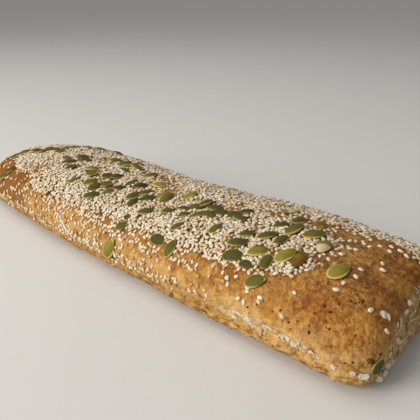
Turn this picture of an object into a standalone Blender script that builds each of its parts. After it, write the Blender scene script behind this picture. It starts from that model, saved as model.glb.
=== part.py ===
"""Seeded multigrain loaf: one long, flat, pillow-shaped loaf with pumpkin and sesame seeds baked onto its crust.

The loaf lies along X with its near end at +X and its front side at -Y, and rests on its flat base at z = 0.
Sizes are in millimetres and are scaled to Blender's metres as each shape is made.
"""

import math
import random

import bmesh
import bpy
from mathutils import Matrix, Vector
from mathutils.bvhtree import BVHTree

MM = 0.001

# The loaf without its seeds
HALF_LENGTH = 198.5
HALF_WIDTH = 57.0
HEIGHT = 47.5
SEAM_Z = 9.0
NEAR_CORNER_RADIUS = 20.0
FAR_CORNER_RADIUS = 44.0
SHOULDER_Z = 38.0
SHOULDER_INSET = 14.0
BASE_INSET = 10.0
# Each level of the side: its height and how far it lies inside the widest outline.
# A baked rim swells at 7 mm, the pale seam is pressed in above it, and the upper crust bellies out again.
SIDE_LEVELS = ((3.0, 4.0), (6.8, 0.5), (10.8, 2.6), (17.0, 0.0), (29.0, 4.0))
# Distances of the cage's cuts from the ends and from the long sides
END_CUTS = (12.0, 30.0, 60.0, 96.0, 132.0, 164.0)
SIDE_CUTS = (14.0, 40.0)

# How the hand-shaped dough departs from an even pillow: the middle of each wave along X, its reach and its amount
CROWN_WAVES = ((-8.0, 62.0, -3.0), (106.0, 42.0, 2.0), (-184.0, 46.0, -6.0))
BACK_WAVES = ((-12.0, 65.0, -4.0), (112.0, 42.0, 2.0))
RIM_WAVES = ((156.0, 28.0, 2.5), (94.0, 28.0, -2.0), (-120.0, 55.0, 2.5))
RIM_FOOT = 5.0
RIM_TOP = 12.0
FAR_TAPER_FRONT = 9.0
FAR_TAPER_BACK = 15.0
FAR_TAPER_START = -46.0
NEAR_END_SLANT = 10.0

# Seeds: length, width and thickness, and how far each one's middle lies above the crust
PUMPKIN_SEED = (13.2, 6.5, 3.2)
PUMPKIN_SEED_LIFT = 0.3
SESAME_SEED = (3.3, 2.1, 1.3)
SESAME_SEED_LIFT = 0.1
SESAME_COUNT = 76
SESAME_SPACING = 9.0
RANDOM_SEED = 12

# A place on the crust is its x and its turn: 0 degrees on the crest, 90 at the seam in front, -90 at the back.
# Pumpkin seeds that stand out one by one: x, turn, heading from +X, and size against the common seed
LONE_SEEDS = (
    (125, 52, 29, 1.0), (100, 25, 38, 0.8), (101, 34, 30, 1.0), (104, 43, 21, 1.1), (115, 34, 59, 1.05),
    (124, 39, -80, 0.9), (111, 21, 57, 1.0), (120, 20, -82, 0.95), (119, 7, 84, 1.15), (131, 5, 54, 1.15),
    (130, 30, 73, 1.15), (138, 30, -81, 1.1), (142, 13, -73, 1.1), (159, 26, 81, 1.2), (102, -12, 63, 1.0),
    (126, -8, -36, 0.95), (49, 53, 6, 1.0), (62, 55, 89, 1.0), (56, 39, 70, 0.85), (81, 30, 84, 0.95),
    (15, 55, 27, 0.85), (11, 78, 62, 1.0), (194, 76, 62, 0.8), (115, 45, 8, 0.75), (110, 7, 48, 0.8),
    (115, -3, 87, 1.0), (83, 6, 45, 0.8), (87, 15, 16, 0.9),
)
# Drifts of seeds that fell together: x and turn of the middle, spread of each, lean of the drift in degrees of
# turn a millimetre, and count
SEED_DRIFTS = (
    (57, 20, 13, 5, -0.45, 11), (9, 15, 11, 8, 0.0, 10), (-37, 24, 14, 8, 0.0, 11), (-50, -13, 16, 6, 0.0, 7),
    (-128, -2, 17, 3, -0.85, 12), (-96, 12, 13, 9, 0.0, 6), (-144, 59, 5, 6, 0.0, 2),
)
MM_PER_DEGREE = 0.9
DRIFT_SPACING = 6.4


def bump(distance, reach):
    """A smooth swell: 1 at its middle and 0 beyond about two reaches."""
    return math.exp(-((distance / reach) ** 2))


def ease(t):
    t = min(max(t, 0.0), 1.0)
    return t * t * (3.0 - 2.0 * t)


def rounded_plan(x, y, inset):
    """Moves a point of the square-cornered plan onto the round-cornered one, drawn in by inset."""
    corner = NEAR_CORNER_RADIUS if x > 0.0 else FAR_CORNER_RADIUS
    along = max(abs(x) - (HALF_LENGTH - corner), 0.0) / corner
    across = max(abs(y) - (HALF_WIDTH - corner), 0.0) / corner
    radius = corner - inset
    if along > 0.0:
        x = math.copysign(HALF_LENGTH - corner + radius * along * math.sqrt(1.0 - across * across / 2.0), x)
    if across > 0.0:
        y = math.copysign(HALF_WIDTH - corner + radius * across * math.sqrt(1.0 - along * along / 2.0), y)
    return x, y


def dome_height(x, y):
    """Height of the top crust's cage over a point of the square-cornered plan."""
    across = 1.0 - abs(y / HALF_WIDTH) ** 2.4
    along = 1.0 - abs(x / HALF_LENGTH) ** (12.0 if x > 0.0 else 6.0)
    return SHOULDER_Z + (HEIGHT - SHOULDER_Z) * across * along


def uneven(x, y, z):
    """The loaf's own unevenness: a low waist, a hump, a curled rim, a tapered far end and a slanted near end."""
    height_share = ease(z / HEIGHT)
    rim_share = ease(z / RIM_FOOT) * (1.0 - ease((z - RIM_TOP) / (HEIGHT - RIM_TOP)))
    z += height_share * sum(rise * bump(x - middle, reach) for middle, reach, rise in CROWN_WAVES)
    z += rim_share * sum(rise * bump(x - middle, reach) for middle, reach, rise in RIM_WAVES)
    if y > 0.0:
        y += y / HALF_WIDTH * sum(swell * bump(x - middle, reach) for middle, reach, swell in BACK_WAVES)
    far_share = ease((FAR_TAPER_START - x) / (HALF_LENGTH + FAR_TAPER_START))
    y *= 1.0 - far_share * (FAR_TAPER_BACK if y > 0.0 else FAR_TAPER_FRONT) / HALF_WIDTH
    near_share = ease((x - HALF_LENGTH + 60.0) / 60.0)
    x -= near_share * NEAR_END_SLANT * ease((y + 36.0) / 48.0) * (1.0 - 0.7 * height_share)
    return x, y, z


def cage_place(point):
    """Where a vertex of the cut cube goes: x and y are in millimetres, and z runs from 0 to 1 up the side."""
    x, y, level = point
    if 0.0 < level < 1.0:
        z, inset = SIDE_LEVELS[round(level * (len(SIDE_LEVELS) + 1)) - 1]
        x, y = rounded_plan(x, y, inset)
    else:
        z, inset = (0.0, BASE_INSET) if level <= 0.0 else (dome_height(x, y), SHOULDER_INSET)
        plan_x, plan_y = rounded_plan(x, y, 0.0)
        x, y = plan_x - inset * x / HALF_LENGTH, plan_y - inset * y / HALF_WIDTH
    return Vector(uneven(x, y, z)) * MM


def cut_across(mesh, axis, places):
    """Cuts the whole mesh by planes square to one axis."""
    normal = Vector((0.0, 0.0, 0.0))
    normal[axis] = 1.0
    for place in places:
        everything = mesh.verts[:] + mesh.edges[:] + mesh.faces[:]
        bmesh.ops.bisect_plane(mesh, geom=everything, plane_co=normal * place, plane_no=normal)


def loaf_core(collection):
    """The dough's body: a cube cut into a cage, shaped, and rounded by Subdivision Surface."""
    cage = bmesh.new()
    bmesh.ops.create_cube(cage, size=1.0)
    for vertex in cage.verts:
        vertex.co = Vector((vertex.co.x * 2 * HALF_LENGTH, vertex.co.y * 2 * HALF_WIDTH, vertex.co.z + 0.5))
    cut_across(cage, 0, [side * (HALF_LENGTH - cut) for cut in END_CUTS for side in (-1, 1)] + [0.0])
    cut_across(cage, 1, [side * (HALF_WIDTH - cut) for cut in SIDE_CUTS for side in (-1, 1)])
    levels = len(SIDE_LEVELS) + 1
    cut_across(cage, 2, [level / levels for level in range(1, levels)])
    for vertex in cage.verts:
        vertex.co = cage_place(vertex.co)
    data = bpy.data.meshes.new("loaf")
    cage.to_mesh(data)
    cage.free()
    loaf = bpy.data.objects.new("loaf", data)
    collection.objects.link(loaf)
    rounding = loaf.modifiers.new("rounding", "SUBSURF")
    rounding.levels = rounding.render_levels = 1
    return loaf


def crust_place(crust, x, turn):
    """Point on the crust at a turn round the loaf, with the crust's outward direction there."""
    angle = math.radians(turn)
    out = Vector((0.0, -HALF_WIDTH * math.sin(angle), (HEIGHT - SEAM_Z) * math.cos(angle))).normalized()
    heart = Vector((x, 0.0, SEAM_Z)) * MM
    place, normal, _, _ = crust.ray_cast(heart + out * 0.2, -out)
    return place, normal


def seed_mesh(name, size, sides, rings, taper):
    """A flat seed along X, pointed by taper at its +X end."""
    seed = bmesh.new()
    bmesh.ops.create_uvsphere(seed, u_segments=sides, v_segments=rings, radius=0.5)
    bmesh.ops.rotate(seed, verts=seed.verts[:], matrix=Matrix.Rotation(math.pi / 2, 3, "Y"))
    for vertex in seed.verts:
        x, y, z = vertex.co
        narrowing = 1.0 - taper * 2.0 * x
        vertex.co = Vector((x * size[0], y * size[1] * narrowing, z * size[2])) * MM
    data = bpy.data.meshes.new(name)
    seed.to_mesh(data)
    seed.free()
    return data


def lay_seed(collection, data, place, normal, heading, size, lift):
    """Lays one seed flat on the crust, turned to its heading."""
    along = (Vector((1.0, 0.0, 0.0)) - normal * normal.x).normalized()
    axes = Matrix((along, normal.cross(along), normal)).transposed()
    turned = axes @ Matrix.Rotation(math.radians(heading), 3, "Z") @ Matrix.Scale(size, 3)
    seed = bpy.data.objects.new(data.name, data)
    seed.matrix_world = Matrix.Translation(place + normal * lift * MM) @ turned.to_4x4()
    collection.objects.link(seed)


def lay_pumpkin_seeds(collection, crust, draw):
    """The seeds that stand out, then the drifts; no drift seed lies closer to another than the spacing."""
    data = seed_mesh("pumpkin_seed", PUMPKIN_SEED, 6, 4, 0.2)
    taken = []
    for x, turn, heading, size in LONE_SEEDS:
        place, normal = crust_place(crust, x, turn)
        lay_seed(collection, data, place, normal, heading, size, PUMPKIN_SEED_LIFT)
        taken.append((x, turn, place))
    for middle_x, middle_turn, spread_x, spread_turn, lean, count in SEED_DRIFTS:
        laid = 0
        while laid < count:
            x = draw.gauss(middle_x, spread_x)
            turn = draw.gauss(middle_turn, spread_turn) + lean * (x - middle_x)
            gaps = [math.hypot(x - other_x, (turn - other_turn) * MM_PER_DEGREE) for other_x, other_turn, _ in taken]
            if min(gaps) < DRIFT_SPACING:
                continue
            place, normal = crust_place(crust, x, turn)
            lay_seed(collection, data, place, normal, draw.uniform(-5, 95), draw.uniform(0.8, 1.1), PUMPKIN_SEED_LIFT)
            taken.append((x, turn, place))
            laid += 1
    return [place for _, _, place in taken]


def sesame_share(x, turn):
    """How thickly sesame covers the crust: full along the top and back, thin down the front and near the end."""
    front_edge = 52.0 - 24.0 * ease((x - 110.0) / 50.0)
    cover = ease((front_edge + 14.0 - turn) / 28.0)
    bare_end = ease((x - 132.0) / 24.0) * ease((turn + 30.0) / 20.0)
    return max(cover * (1.0 - bare_end), 0.08)


def lay_sesame_seeds(collection, crust, draw, taken):
    data = seed_mesh("sesame_seed", SESAME_SEED, 5, 3, 0.2)
    laid = 0
    while laid < SESAME_COUNT:
        x = draw.uniform(6.0 - HALF_LENGTH, HALF_LENGTH - 12.0)
        turn = draw.uniform(-78.0, 84.0)
        place, normal = crust_place(crust, x, turn)
        if place is None or draw.random() > sesame_share(x, turn):
            continue
        if min((place - other).length for other in taken) < SESAME_SPACING * MM:
            continue
        lay_seed(collection, data, place, normal, draw.uniform(0, 180), draw.uniform(0.9, 1.1), SESAME_SEED_LIFT)
        taken.append(place)
        laid += 1


def outer_body(mesh):
    """Keeps the largest connected surface, which fills sealed hollows and drops loose scraps."""
    unseen = set(mesh.faces)
    bodies = []
    while unseen:
        body = [unseen.pop()]
        for face in body:
            for edge in face.edges:
                fresh = [other for other in edge.link_faces if other in unseen]
                unseen.difference_update(fresh)
                body.extend(fresh)
        bodies.append(body)
    bodies.sort(key=len)
    bmesh.ops.delete(mesh, geom=[face for body in bodies[:-1] for face in body], context="FACES")


def fuse_seeds(loaf, seeds):
    """Joins all the seeds to the loaf as one solid."""
    union = loaf.modifiers.new("seeds", "BOOLEAN")
    union.operation = "UNION"
    union.operand_type = "COLLECTION"
    union.collection = seeds
    joined = bpy.data.meshes.new_from_object(loaf.evaluated_get(bpy.context.evaluated_depsgraph_get()))
    loaf.modifiers.clear()
    loaf.data = joined
    for seed in list(seeds.objects):
        bpy.data.objects.remove(seed)
    bpy.data.collections.remove(seeds)
    mesh = bmesh.new()
    mesh.from_mesh(joined)
    outer_body(mesh)
    base = [face for face in mesh.faces if max(vertex.co.z for vertex in face.verts) < 1e-6]
    edges = {edge for face in base for edge in face.edges if all(other in base for other in edge.link_faces)}
    bmesh.ops.dissolve_edges(mesh, edges=list(edges), use_verts=True)
    bmesh.ops.triangulate(mesh, faces=mesh.faces[:])
    mesh.to_mesh(joined)
    mesh.free()
    joined.name = "loaf"


def baked_crust():
    """Golden-brown baked crust, matt with a little flour."""
    material = bpy.data.materials.new("baked crust")
    material.use_nodes = True
    shader = material.node_tree.nodes["Principled BSDF"]
    shader.inputs["Base Color"].default_value = (0.42, 0.21, 0.08, 1.0)
    shader.inputs["Roughness"].default_value = 0.7
    shader.inputs["Metallic"].default_value = 0.0
    return material


def main():
    for thing in list(bpy.data.objects):
        bpy.data.objects.remove(thing)
    bread = bpy.data.collections.new("multigrain bread")
    seeds = bpy.data.collections.new("seeds")
    bpy.context.scene.collection.children.link(bread)
    bpy.context.scene.collection.children.link(seeds)
    loaf = loaf_core(bread)
    depsgraph = bpy.context.evaluated_depsgraph_get()
    crust = BVHTree.FromObject(loaf, depsgraph)
    draw = random.Random(RANDOM_SEED)
    taken = lay_pumpkin_seeds(seeds, crust, draw)
    lay_sesame_seeds(seeds, crust, draw, taken)
    fuse_seeds(loaf, seeds)
    loaf.data.materials.clear()
    loaf.data.materials.append(baked_crust())
    loaf.data.shade_smooth()
    loaf.data.set_sharp_from_angle(angle=math.radians(40.0))


main()
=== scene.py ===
import math
import random

import bpy
import numpy as np
from mathutils import Matrix, Vector, noise
from mathutils.bvhtree import BVHTree


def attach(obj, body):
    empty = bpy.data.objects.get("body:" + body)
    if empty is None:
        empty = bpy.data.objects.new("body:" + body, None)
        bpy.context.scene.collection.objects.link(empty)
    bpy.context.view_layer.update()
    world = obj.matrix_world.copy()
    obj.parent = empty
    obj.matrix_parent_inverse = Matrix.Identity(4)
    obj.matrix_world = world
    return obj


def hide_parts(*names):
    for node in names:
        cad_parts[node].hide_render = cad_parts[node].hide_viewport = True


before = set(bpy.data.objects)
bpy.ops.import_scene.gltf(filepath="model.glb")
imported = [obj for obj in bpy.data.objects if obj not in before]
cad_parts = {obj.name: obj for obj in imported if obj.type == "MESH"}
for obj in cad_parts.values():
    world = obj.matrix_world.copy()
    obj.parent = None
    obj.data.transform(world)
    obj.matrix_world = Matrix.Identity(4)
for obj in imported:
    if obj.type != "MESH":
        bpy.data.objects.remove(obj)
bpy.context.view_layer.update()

# The view
# The loaf lies on a pale table in soft daylight. The eye is a little above it and off its near
# end, and the window is to the left, so the front and top are bright and the near end is in shade.
EYE = (0.2826, -0.2484, 0.1778)
EYE_TURN = 0.7586
EYE_TILT = 0.3881
SENSOR = 36.0
FOCAL_PIXELS = 562.8
PICTURE_PIXELS = 420.0
TABLE_SIZE = 24.0

camera_data = bpy.data.cameras.new("view")
camera_data.lens = FOCAL_PIXELS / PICTURE_PIXELS * SENSOR
camera_data.sensor_width = SENSOR
camera_data.clip_start = 0.01
camera = bpy.data.objects.new("view", camera_data)
camera.location = EYE
camera.rotation_euler = (math.pi / 2 - EYE_TILT, 0.0, EYE_TURN)
bpy.context.scene.collection.objects.link(camera)
bpy.context.scene.camera = camera
bpy.context.scene.view_settings.view_transform = "Standard"


def soft_light(name, place, size, power, colour):
    """A square softbox aimed at the middle of the loaf."""
    lamp = bpy.data.lights.new(name, "AREA")
    lamp.size = size
    lamp.energy = power
    lamp.color = colour
    light = bpy.data.objects.new(name, lamp)
    light.location = place
    aim = Vector((0.03, 0.0, 0.03)) - Vector(place)
    light.rotation_euler = aim.to_track_quat("-Z", "Y").to_euler()
    bpy.context.scene.collection.objects.link(light)


soft_light("window", (-0.35, -1.15, 0.54), 0.8, 16.0, (1.0, 0.965, 0.91))
soft_light("sky", (-0.5, -0.1, 1.3), 1.2, 6.3, (0.98, 0.98, 0.96))

sky = bpy.data.worlds.new("daylight")
sky.use_nodes = True
sky.node_tree.nodes["Background"].inputs["Color"].default_value = (0.90, 0.91, 0.91, 1.0)
sky.node_tree.nodes["Background"].inputs["Strength"].default_value = 0.36
bpy.context.scene.world = sky

bpy.ops.object.select_all(action="DESELECT")
bpy.ops.mesh.primitive_plane_add(size=TABLE_SIZE, location=(0.0, 0.0, 0.0))
table = bpy.context.object
table.name = "table"
table_finish = bpy.data.materials.new("pale table")
table_finish.use_nodes = True
table_shader = table_finish.node_tree.nodes["Principled BSDF"]
table_shader.inputs["Base Color"].default_value = (0.70, 0.68, 0.65, 1.0)
table_shader.inputs["Roughness"].default_value = 0.9
table.data.materials.append(table_finish)

# The baked dough
# One long flat pillow of dough, proved and baked on a flat tray. The upper crust bellies out over a
# pale floury seam, and under the seam a rough rim curls in to the flat base. The near end has a torn
# face, where it was pulled off the next loaf on the tray.
MM = 0.001
HALF_LENGTH = 198.5
HALF_WIDTH = 57.0
HEIGHT = 47.5
SEAM_Z = 9.0
NEAR_CORNER_RADIUS = 20.0
FAR_CORNER_RADIUS = 44.0
SHOULDER_Z = 38.0
SHOULDER_INSET = 14.0
BASE_INSET = 10.0
# How square the crown is across the loaf, and along it at the near and the far end
CROWN_ACROSS = 2.4
CROWN_ALONG = (12.0, 6.0)
# Up the side: each height, and how far in from the plan the crust is there
SIDE_LEVELS = ((3.0, 4.0), (6.8, 0.5), (10.8, 2.6), (17.0, 0.0), (29.0, 4.0))
END_CUTS = (12.0, 30.0, 60.0, 96.0, 132.0, 164.0)
SIDE_CUTS = (14.0, 40.0)
# Swells and hollows along the loaf: middle, reach and rise of each
CROWN_WAVES = ((-8.0, 62.0, -3.0), (106.0, 42.0, 2.0), (-184.0, 46.0, -6.0))
BACK_WAVES = ((-12.0, 65.0, -4.0), (112.0, 42.0, 2.0))
RIM_WAVES = ((156.0, 28.0, 2.5), (94.0, 28.0, -2.0), (-120.0, 55.0, 2.5))
RIM_FOOT = 5.0
RIM_TOP = 12.0
FAR_TAPER_FRONT = 9.0
FAR_TAPER_BACK = 15.0
FAR_TAPER_START = -46.0
NEAR_END_SLANT = 10.0


def bump(distance, reach):
    return math.exp(-((distance / reach) ** 2))


def ease(t):
    t = min(max(t, 0.0), 1.0)
    return t * t * (3.0 - 2.0 * t)


def waves(x, swells):
    """Sum of swells (middle, reach, rise) at one place along the loaf."""
    return sum(rise * bump(x - middle, reach) for middle, reach, rise in swells)


def rounded_plan(x, y, inset):
    """Moves a point of the square-cornered plan onto the round-cornered one, drawn in by inset."""
    corner = NEAR_CORNER_RADIUS if x > 0.0 else FAR_CORNER_RADIUS
    along = max(abs(x) - (HALF_LENGTH - corner), 0.0) / corner
    across = max(abs(y) - (HALF_WIDTH - corner), 0.0) / corner
    radius = corner - inset
    if along > 0.0:
        reach = radius * along * math.sqrt(1.0 - across * across / 2.0)
        x = math.copysign(HALF_LENGTH - corner + reach, x)
    if across > 0.0:
        reach = radius * across * math.sqrt(1.0 - along * along / 2.0)
        y = math.copysign(HALF_WIDTH - corner + reach, y)
    return x, y


def uneven(x, y, z):
    """The loaf's own waist, hump and curled rim, its tapered far end and its slanted near end."""
    height_share = ease(z / HEIGHT)
    rim_share = ease(z / RIM_FOOT) * (1.0 - ease((z - RIM_TOP) / (HEIGHT - RIM_TOP)))
    z += height_share * waves(x, CROWN_WAVES)
    z += rim_share * waves(x, RIM_WAVES)
    if y > 0.0:
        y += y / HALF_WIDTH * waves(x, BACK_WAVES)
    far_share = ease((FAR_TAPER_START - x) / (HALF_LENGTH + FAR_TAPER_START))
    y *= 1.0 - far_share * (FAR_TAPER_BACK if y > 0.0 else FAR_TAPER_FRONT) / HALF_WIDTH
    near_share = ease((x - HALF_LENGTH + 60.0) / 60.0)
    x -= near_share * NEAR_END_SLANT * ease((y + 36.0) / 48.0) * (1.0 - 0.7 * height_share)
    return x, y, z


def cage_place(point):
    """Where a vertex of the cut cube goes: x and y are in millimetres, and z is 0 to 1 up the side."""
    x, y, level = point
    if 0.001 < level < 0.999:
        z, inset = SIDE_LEVELS[round(level * (len(SIDE_LEVELS) + 1)) - 1]
        x, y = rounded_plan(x, y, inset)
    else:
        z, inset = 0.0, BASE_INSET
        if level > 0.5:
            across = 1.0 - abs(y / HALF_WIDTH) ** CROWN_ACROSS
            along = 1.0 - abs(x / HALF_LENGTH) ** CROWN_ALONG[0 if x > 0.0 else 1]
            z, inset = SHOULDER_Z + (HEIGHT - SHOULDER_Z) * across * along, SHOULDER_INSET
        plan_x, plan_y = rounded_plan(x, y, 0.0)
        x, y = plan_x - inset * x / HALF_LENGTH, plan_y - inset * y / HALF_WIDTH
    return Vector(uneven(x, y, z)) * MM


def slice_across(axis, places):
    """Cuts the whole piece in edit mode by planes square to one axis."""
    normal = [0.0, 0.0, 0.0]
    normal[axis] = 1.0
    for place in places:
        bpy.ops.mesh.select_all(action="SELECT")
        bpy.ops.mesh.bisect(plane_co=[part * place for part in normal], plane_no=normal)


def round_off(piece, levels):
    """Smooths the active piece by subdivision."""
    rounding = piece.modifiers.new("rounding", "SUBSURF")
    rounding.levels = rounding.render_levels = levels
    bpy.ops.object.modifier_apply(modifier=rounding.name)


bpy.ops.object.select_all(action="DESELECT")
bpy.ops.mesh.primitive_cube_add(size=1.0, location=(0.0, 0.0, 0.0))
crust = bpy.context.object
crust.name = "crust"
bpy.ops.object.mode_set(mode="EDIT")
bpy.ops.mesh.select_all(action="SELECT")
bpy.ops.transform.translate(value=(0.0, 0.0, 0.5))
bpy.ops.transform.resize(value=(2 * HALF_LENGTH, 2 * HALF_WIDTH, 1.0), center_override=(0.0, 0.0, 0.0))
slice_across(0, [side * (HALF_LENGTH - cut) for cut in END_CUTS for side in (-1, 1)] + [0.0])
slice_across(1, [side * (HALF_WIDTH - cut) for cut in SIDE_CUTS for side in (-1, 1)])
levels = len(SIDE_LEVELS) + 1
slice_across(2, [level / levels for level in range(1, levels)])
bpy.ops.object.mode_set(mode="OBJECT")
for vertex in crust.data.vertices:
    vertex.co = cage_place(vertex.co)
round_off(crust, 4)
bpy.ops.object.shade_smooth()

# The pale seam wanders along the sides, and climbs towards the near front corner
SEAM_FRONT_CLIMB = ((96.0, 34.0, 3.2), (150.0, 30.0, 3.8))
SEAM_BACK_CLIMB = ((150.0, 60.0, 2.0),)
# Top of the torn face on the near end: its height at each y
TORN_Y = (-45.0, -40.0, -35.0, -24.0, -7.0, 0.0, 34.0, 48.0)
TORN_TOP = (8.0, 19.0, 24.5, 28.5, 32.0, 33.5, 30.0, 9.0)
TORN_FROM_X = 172.0


def seam_height(x, y):
    wander = noise.noise(Vector((x / 34.0, y / 34.0, 3.0)))
    return 11.0 + 1.2 * wander + waves(x, SEAM_FRONT_CLIMB if y < 0.0 else SEAM_BACK_CLIMB)


def seam_reach(x, y):
    """Half the height of the pale band: it narrows, swells and breaks along the side."""
    swollen = 1.0 * bump(x - 132.0, 26.0) if y < 0.0 else 0.0
    return 1.5 + swollen + 1.1 * noise.noise(Vector((x / 13.0, y / 13.0, 8.0)))


def torn_share(p, facing):
    """1 on the torn face of the near end, and 0 on baked crust."""
    if p.x < TORN_FROM_X:
        return 0.0
    top = float(np.interp(p.y, TORN_Y, TORN_TOP))
    top += 2.4 * noise.noise(p / 6.0) + 1.2 * noise.noise(p / 2.3)
    return ease((top - p.z) / 1.6) * ease((facing - 0.25) / 0.3)


def crust_relief(p, pale, torn):
    """How far the oven and the hand have lifted or pressed the crust, in millimetres."""
    lumps = 0.9 * noise.noise(p / 27.0) + 0.45 * noise.noise(p / 9.0) + 0.26 * noise.noise(p / 3.6)
    rough = 0.9 * noise.noise(p / 8.0) + 0.9 * noise.noise(p / 3.6) + 0.5 * noise.noise(p / 1.9)
    slanted = Vector((p.x / 7.0 + p.z / 3.0, p.y / 7.0, p.z / 2.2))
    cracks = -1.1 * ease(1.0 - abs(noise.noise(slanted)) / 0.14)
    low = ease((seam_height(p.x, p.y) - 0.8 - p.z) / 2.0)
    lip = 0.5 * bump(p.z - seam_height(p.x, p.y) - seam_reach(p.x, p.y) - 1.6, 1.8)
    ridges = 1.2 * noise.noise(Vector((p.x / 9.0, p.y / 3.6, p.z / 13.0)))
    ridges += 0.9 * noise.noise(Vector((p.x / 5.0, p.y / 1.7, p.z / 5.0)))
    lobe = 2.4 * bump(p.y - 8.0, 7.0) * bump(p.z - 6.0, 5.0)
    baked = lumps * (1.0 - low) + (rough + cracks) * low + lip - 0.7 * pale
    return baked * (1.0 - torn) + (ridges + lobe + 0.6 * rough - 1.3) * torn


# How far down the front the dough was wetted for the seeds: the turn round the loaf at each x.
# From WET_FAR_X on, over the far end, the edge of the wet part is softer and more ragged
WET_X = (-198, -170, -150, -130, -110, -90, -50, 0, 50, 90, 110, 140, 156, 168, 190)
WET_TURN = (-6, 12, 37, 46, 47, 60, 57, 56, 54, 52, 47, 42, 22, -16, -34)
WET_FAR_X = -158.0
# Places on the top that took fewer seeds: x, turn, reach of each, and how bare
BARE_PATCHES = (
    (10, 8, 12, 12, 0.85), (72, 6, 10, 14, 0.6), (-52, 18, 9, 6, 0.6), (-8, -12, 14, 10, 0.6),
    (-72, -8, 10, 8, 0.6), (130, 28, 8, 6, 0.6), (-90, 4, 8, 6, 0.6), (48, -28, 10, 8, 0.6),
    (112, -8, 34, 10, 0.65), (146, -13, 12, 10, 0.75), (146, 14, 12, 12, 0.6), (-108, 38, 10, 7, 0.4),
    (-30, 28, 8, 5, 0.5), (28, 26, 9, 6, 0.4), (-150, 26, 12, 9, 0.4),
)


def turn_of(y, z):
    """Degrees round the loaf: 0 on the crest, 90 at the seam in front, -90 at the back."""
    return math.degrees(math.atan2(-y / HALF_WIDTH, (z - SEAM_Z) / (HEIGHT - SEAM_Z)))


def wetted(x, y, z):
    """Share of the seeds that the wet top took: 1 where they lie like a carpet."""
    turn = turn_of(y, z)
    far = ease((WET_FAR_X - x) / 26.0)
    ragged = (4.0 + 26.0 * far) * noise.noise(Vector((x / 13.0, y / 13.0, z / 13.0)))
    soft = 6.0 + 20.0 * far
    cover = ease((float(np.interp(x, WET_X, WET_TURN)) + soft + ragged - turn) / (2.0 * soft))
    cover *= 1.0 - 0.55 * ease((-178.0 - x) / 16.0)
    for middle_x, middle_turn, reach_x, reach_turn, bareness in BARE_PATCHES:
        cover *= 1.0 - bareness * bump(x - middle_x, reach_x) * bump(turn - middle_turn, reach_turn)
    bare_end = ease((x - 142.0) / 20.0) * ease((turn + 36.0) / 14.0)
    return cover * (1.0 - 0.9 * bare_end) * (1.0 - ease((-64.0 - turn) / 14.0))


places = np.empty(len(crust.data.vertices) * 3)
directions = np.empty(len(crust.data.vertices) * 3)
crust.data.vertices.foreach_get("co", places)
crust.data.vertex_normals.foreach_get("vector", directions)
places = places.reshape(-1, 3)
directions = directions.reshape(-1, 3)
pale_seam = np.zeros(len(places))
torn_end = np.zeros(len(places))
painted_seed_gap_shade = np.zeros(len(places))
for index, (place, direction) in enumerate(zip(places, directions)):
    p = Vector(place) / MM
    upright = ease((1.0 - abs(direction[2])) * 2.0)
    faded = 1.0 - 0.55 * bump(p.x - 188.0, 12.0) * ease(-p.y / 30.0)
    off_seam = abs(p.z - seam_height(p.x, p.y)) / seam_reach(p.x, p.y)
    pale = ease(1.4 - off_seam) * upright * faded
    pale_seam[index] = bump(off_seam, 2.2) * upright * faded
    torn_end[index] = torn_share(p, direction[0])
    # Seed cover, kept only for the painted shade between the seeds on the crust
    painted_seed_gap_shade[index] = wetted(*p) * ease((p.z - 14.0) / 3.0)
    lift = crust_relief(p, pale, torn_end[index])
    places[index] += direction * lift * ease(p.z / 3.0) * MM
places[:, 2] = np.maximum(places[:, 2], 0.0)
crust.data.vertices.foreach_set("co", places.ravel())
for name, share in (("pale_seam", pale_seam), ("torn_end", torn_end), ("painted_seed_gap_shade", painted_seed_gap_shade)):
    crust.data.attributes.new(name, "FLOAT", "POINT").data.foreach_set("value", share)
crust.data.update()


def add_node(tree, kind, sockets=None, **settings):
    """Adds a shader node; sockets maps an input's name or number to a value or to an output to link."""
    made = tree.nodes.new(kind)
    for name, value in settings.items():
        setattr(made, name, value)
    for name, value in (sockets or {}).items():
        if isinstance(value, bpy.types.NodeSocket):
            tree.links.new(value, made.inputs[name])
        else:
            made.inputs[name].default_value = value
    return made


def carried(tree, name):
    """A value that the mesh carries at each of its points."""
    return add_node(tree, "ShaderNodeAttribute", attribute_name=name).outputs["Fac"]


def start_finish(name):
    """A new material, with its tree, its shader and the Object coordinates that its patterns read."""
    material = bpy.data.materials.new(name)
    material.use_nodes = True
    tree = material.node_tree
    coordinates = add_node(tree, "ShaderNodeTexCoord").outputs["Object"]
    return material, tree, tree.nodes["Principled BSDF"], coordinates


def set_surface(tree, shader, colour, roughness, gloss=0.5):
    tree.links.new(colour, shader.inputs["Base Color"])
    shader.inputs["Roughness"].default_value = roughness
    shader.inputs["Specular IOR Level"].default_value = gloss


def add_relief(tree, shader, height, strength=1.0):
    """Lets a height, in metres, tilt the surface that the light sees."""
    relief = add_node(tree, "ShaderNodeBump", {"Height": height, "Strength": strength, "Distance": 1.0})
    tree.links.new(relief.outputs[0], shader.inputs["Normal"])


def mix_colour(tree, amount, first, second):
    """Colour that goes from the first to the second by an amount from 0 to 1."""
    ends = [end if isinstance(end, bpy.types.NodeSocket) else (*end, 1.0) for end in (first, second)]
    sockets = {0: amount, 6: ends[0], 7: ends[1]}
    return add_node(tree, "ShaderNodeMix", sockets, data_type="RGBA").outputs[2]


def spread(tree, value, low, high):
    """Stretches a value so that low becomes 0 and high becomes 1, with soft ends."""
    sockets = {"Value": value, "From Min": low, "From Max": high}
    made = add_node(tree, "ShaderNodeMapRange", sockets, interpolation_type="SMOOTHSTEP")
    return made.outputs["Result"]


def calculate(tree, operation, first, second=0.5, third=0.5, use_clamp=False):
    sockets = {0: first, 1: second, 2: third}
    return add_node(tree, "ShaderNodeMath", sockets, operation=operation, use_clamp=use_clamp).outputs[0]


def times(tree, first, second):
    return calculate(tree, "MULTIPLY", first, second)


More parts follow.
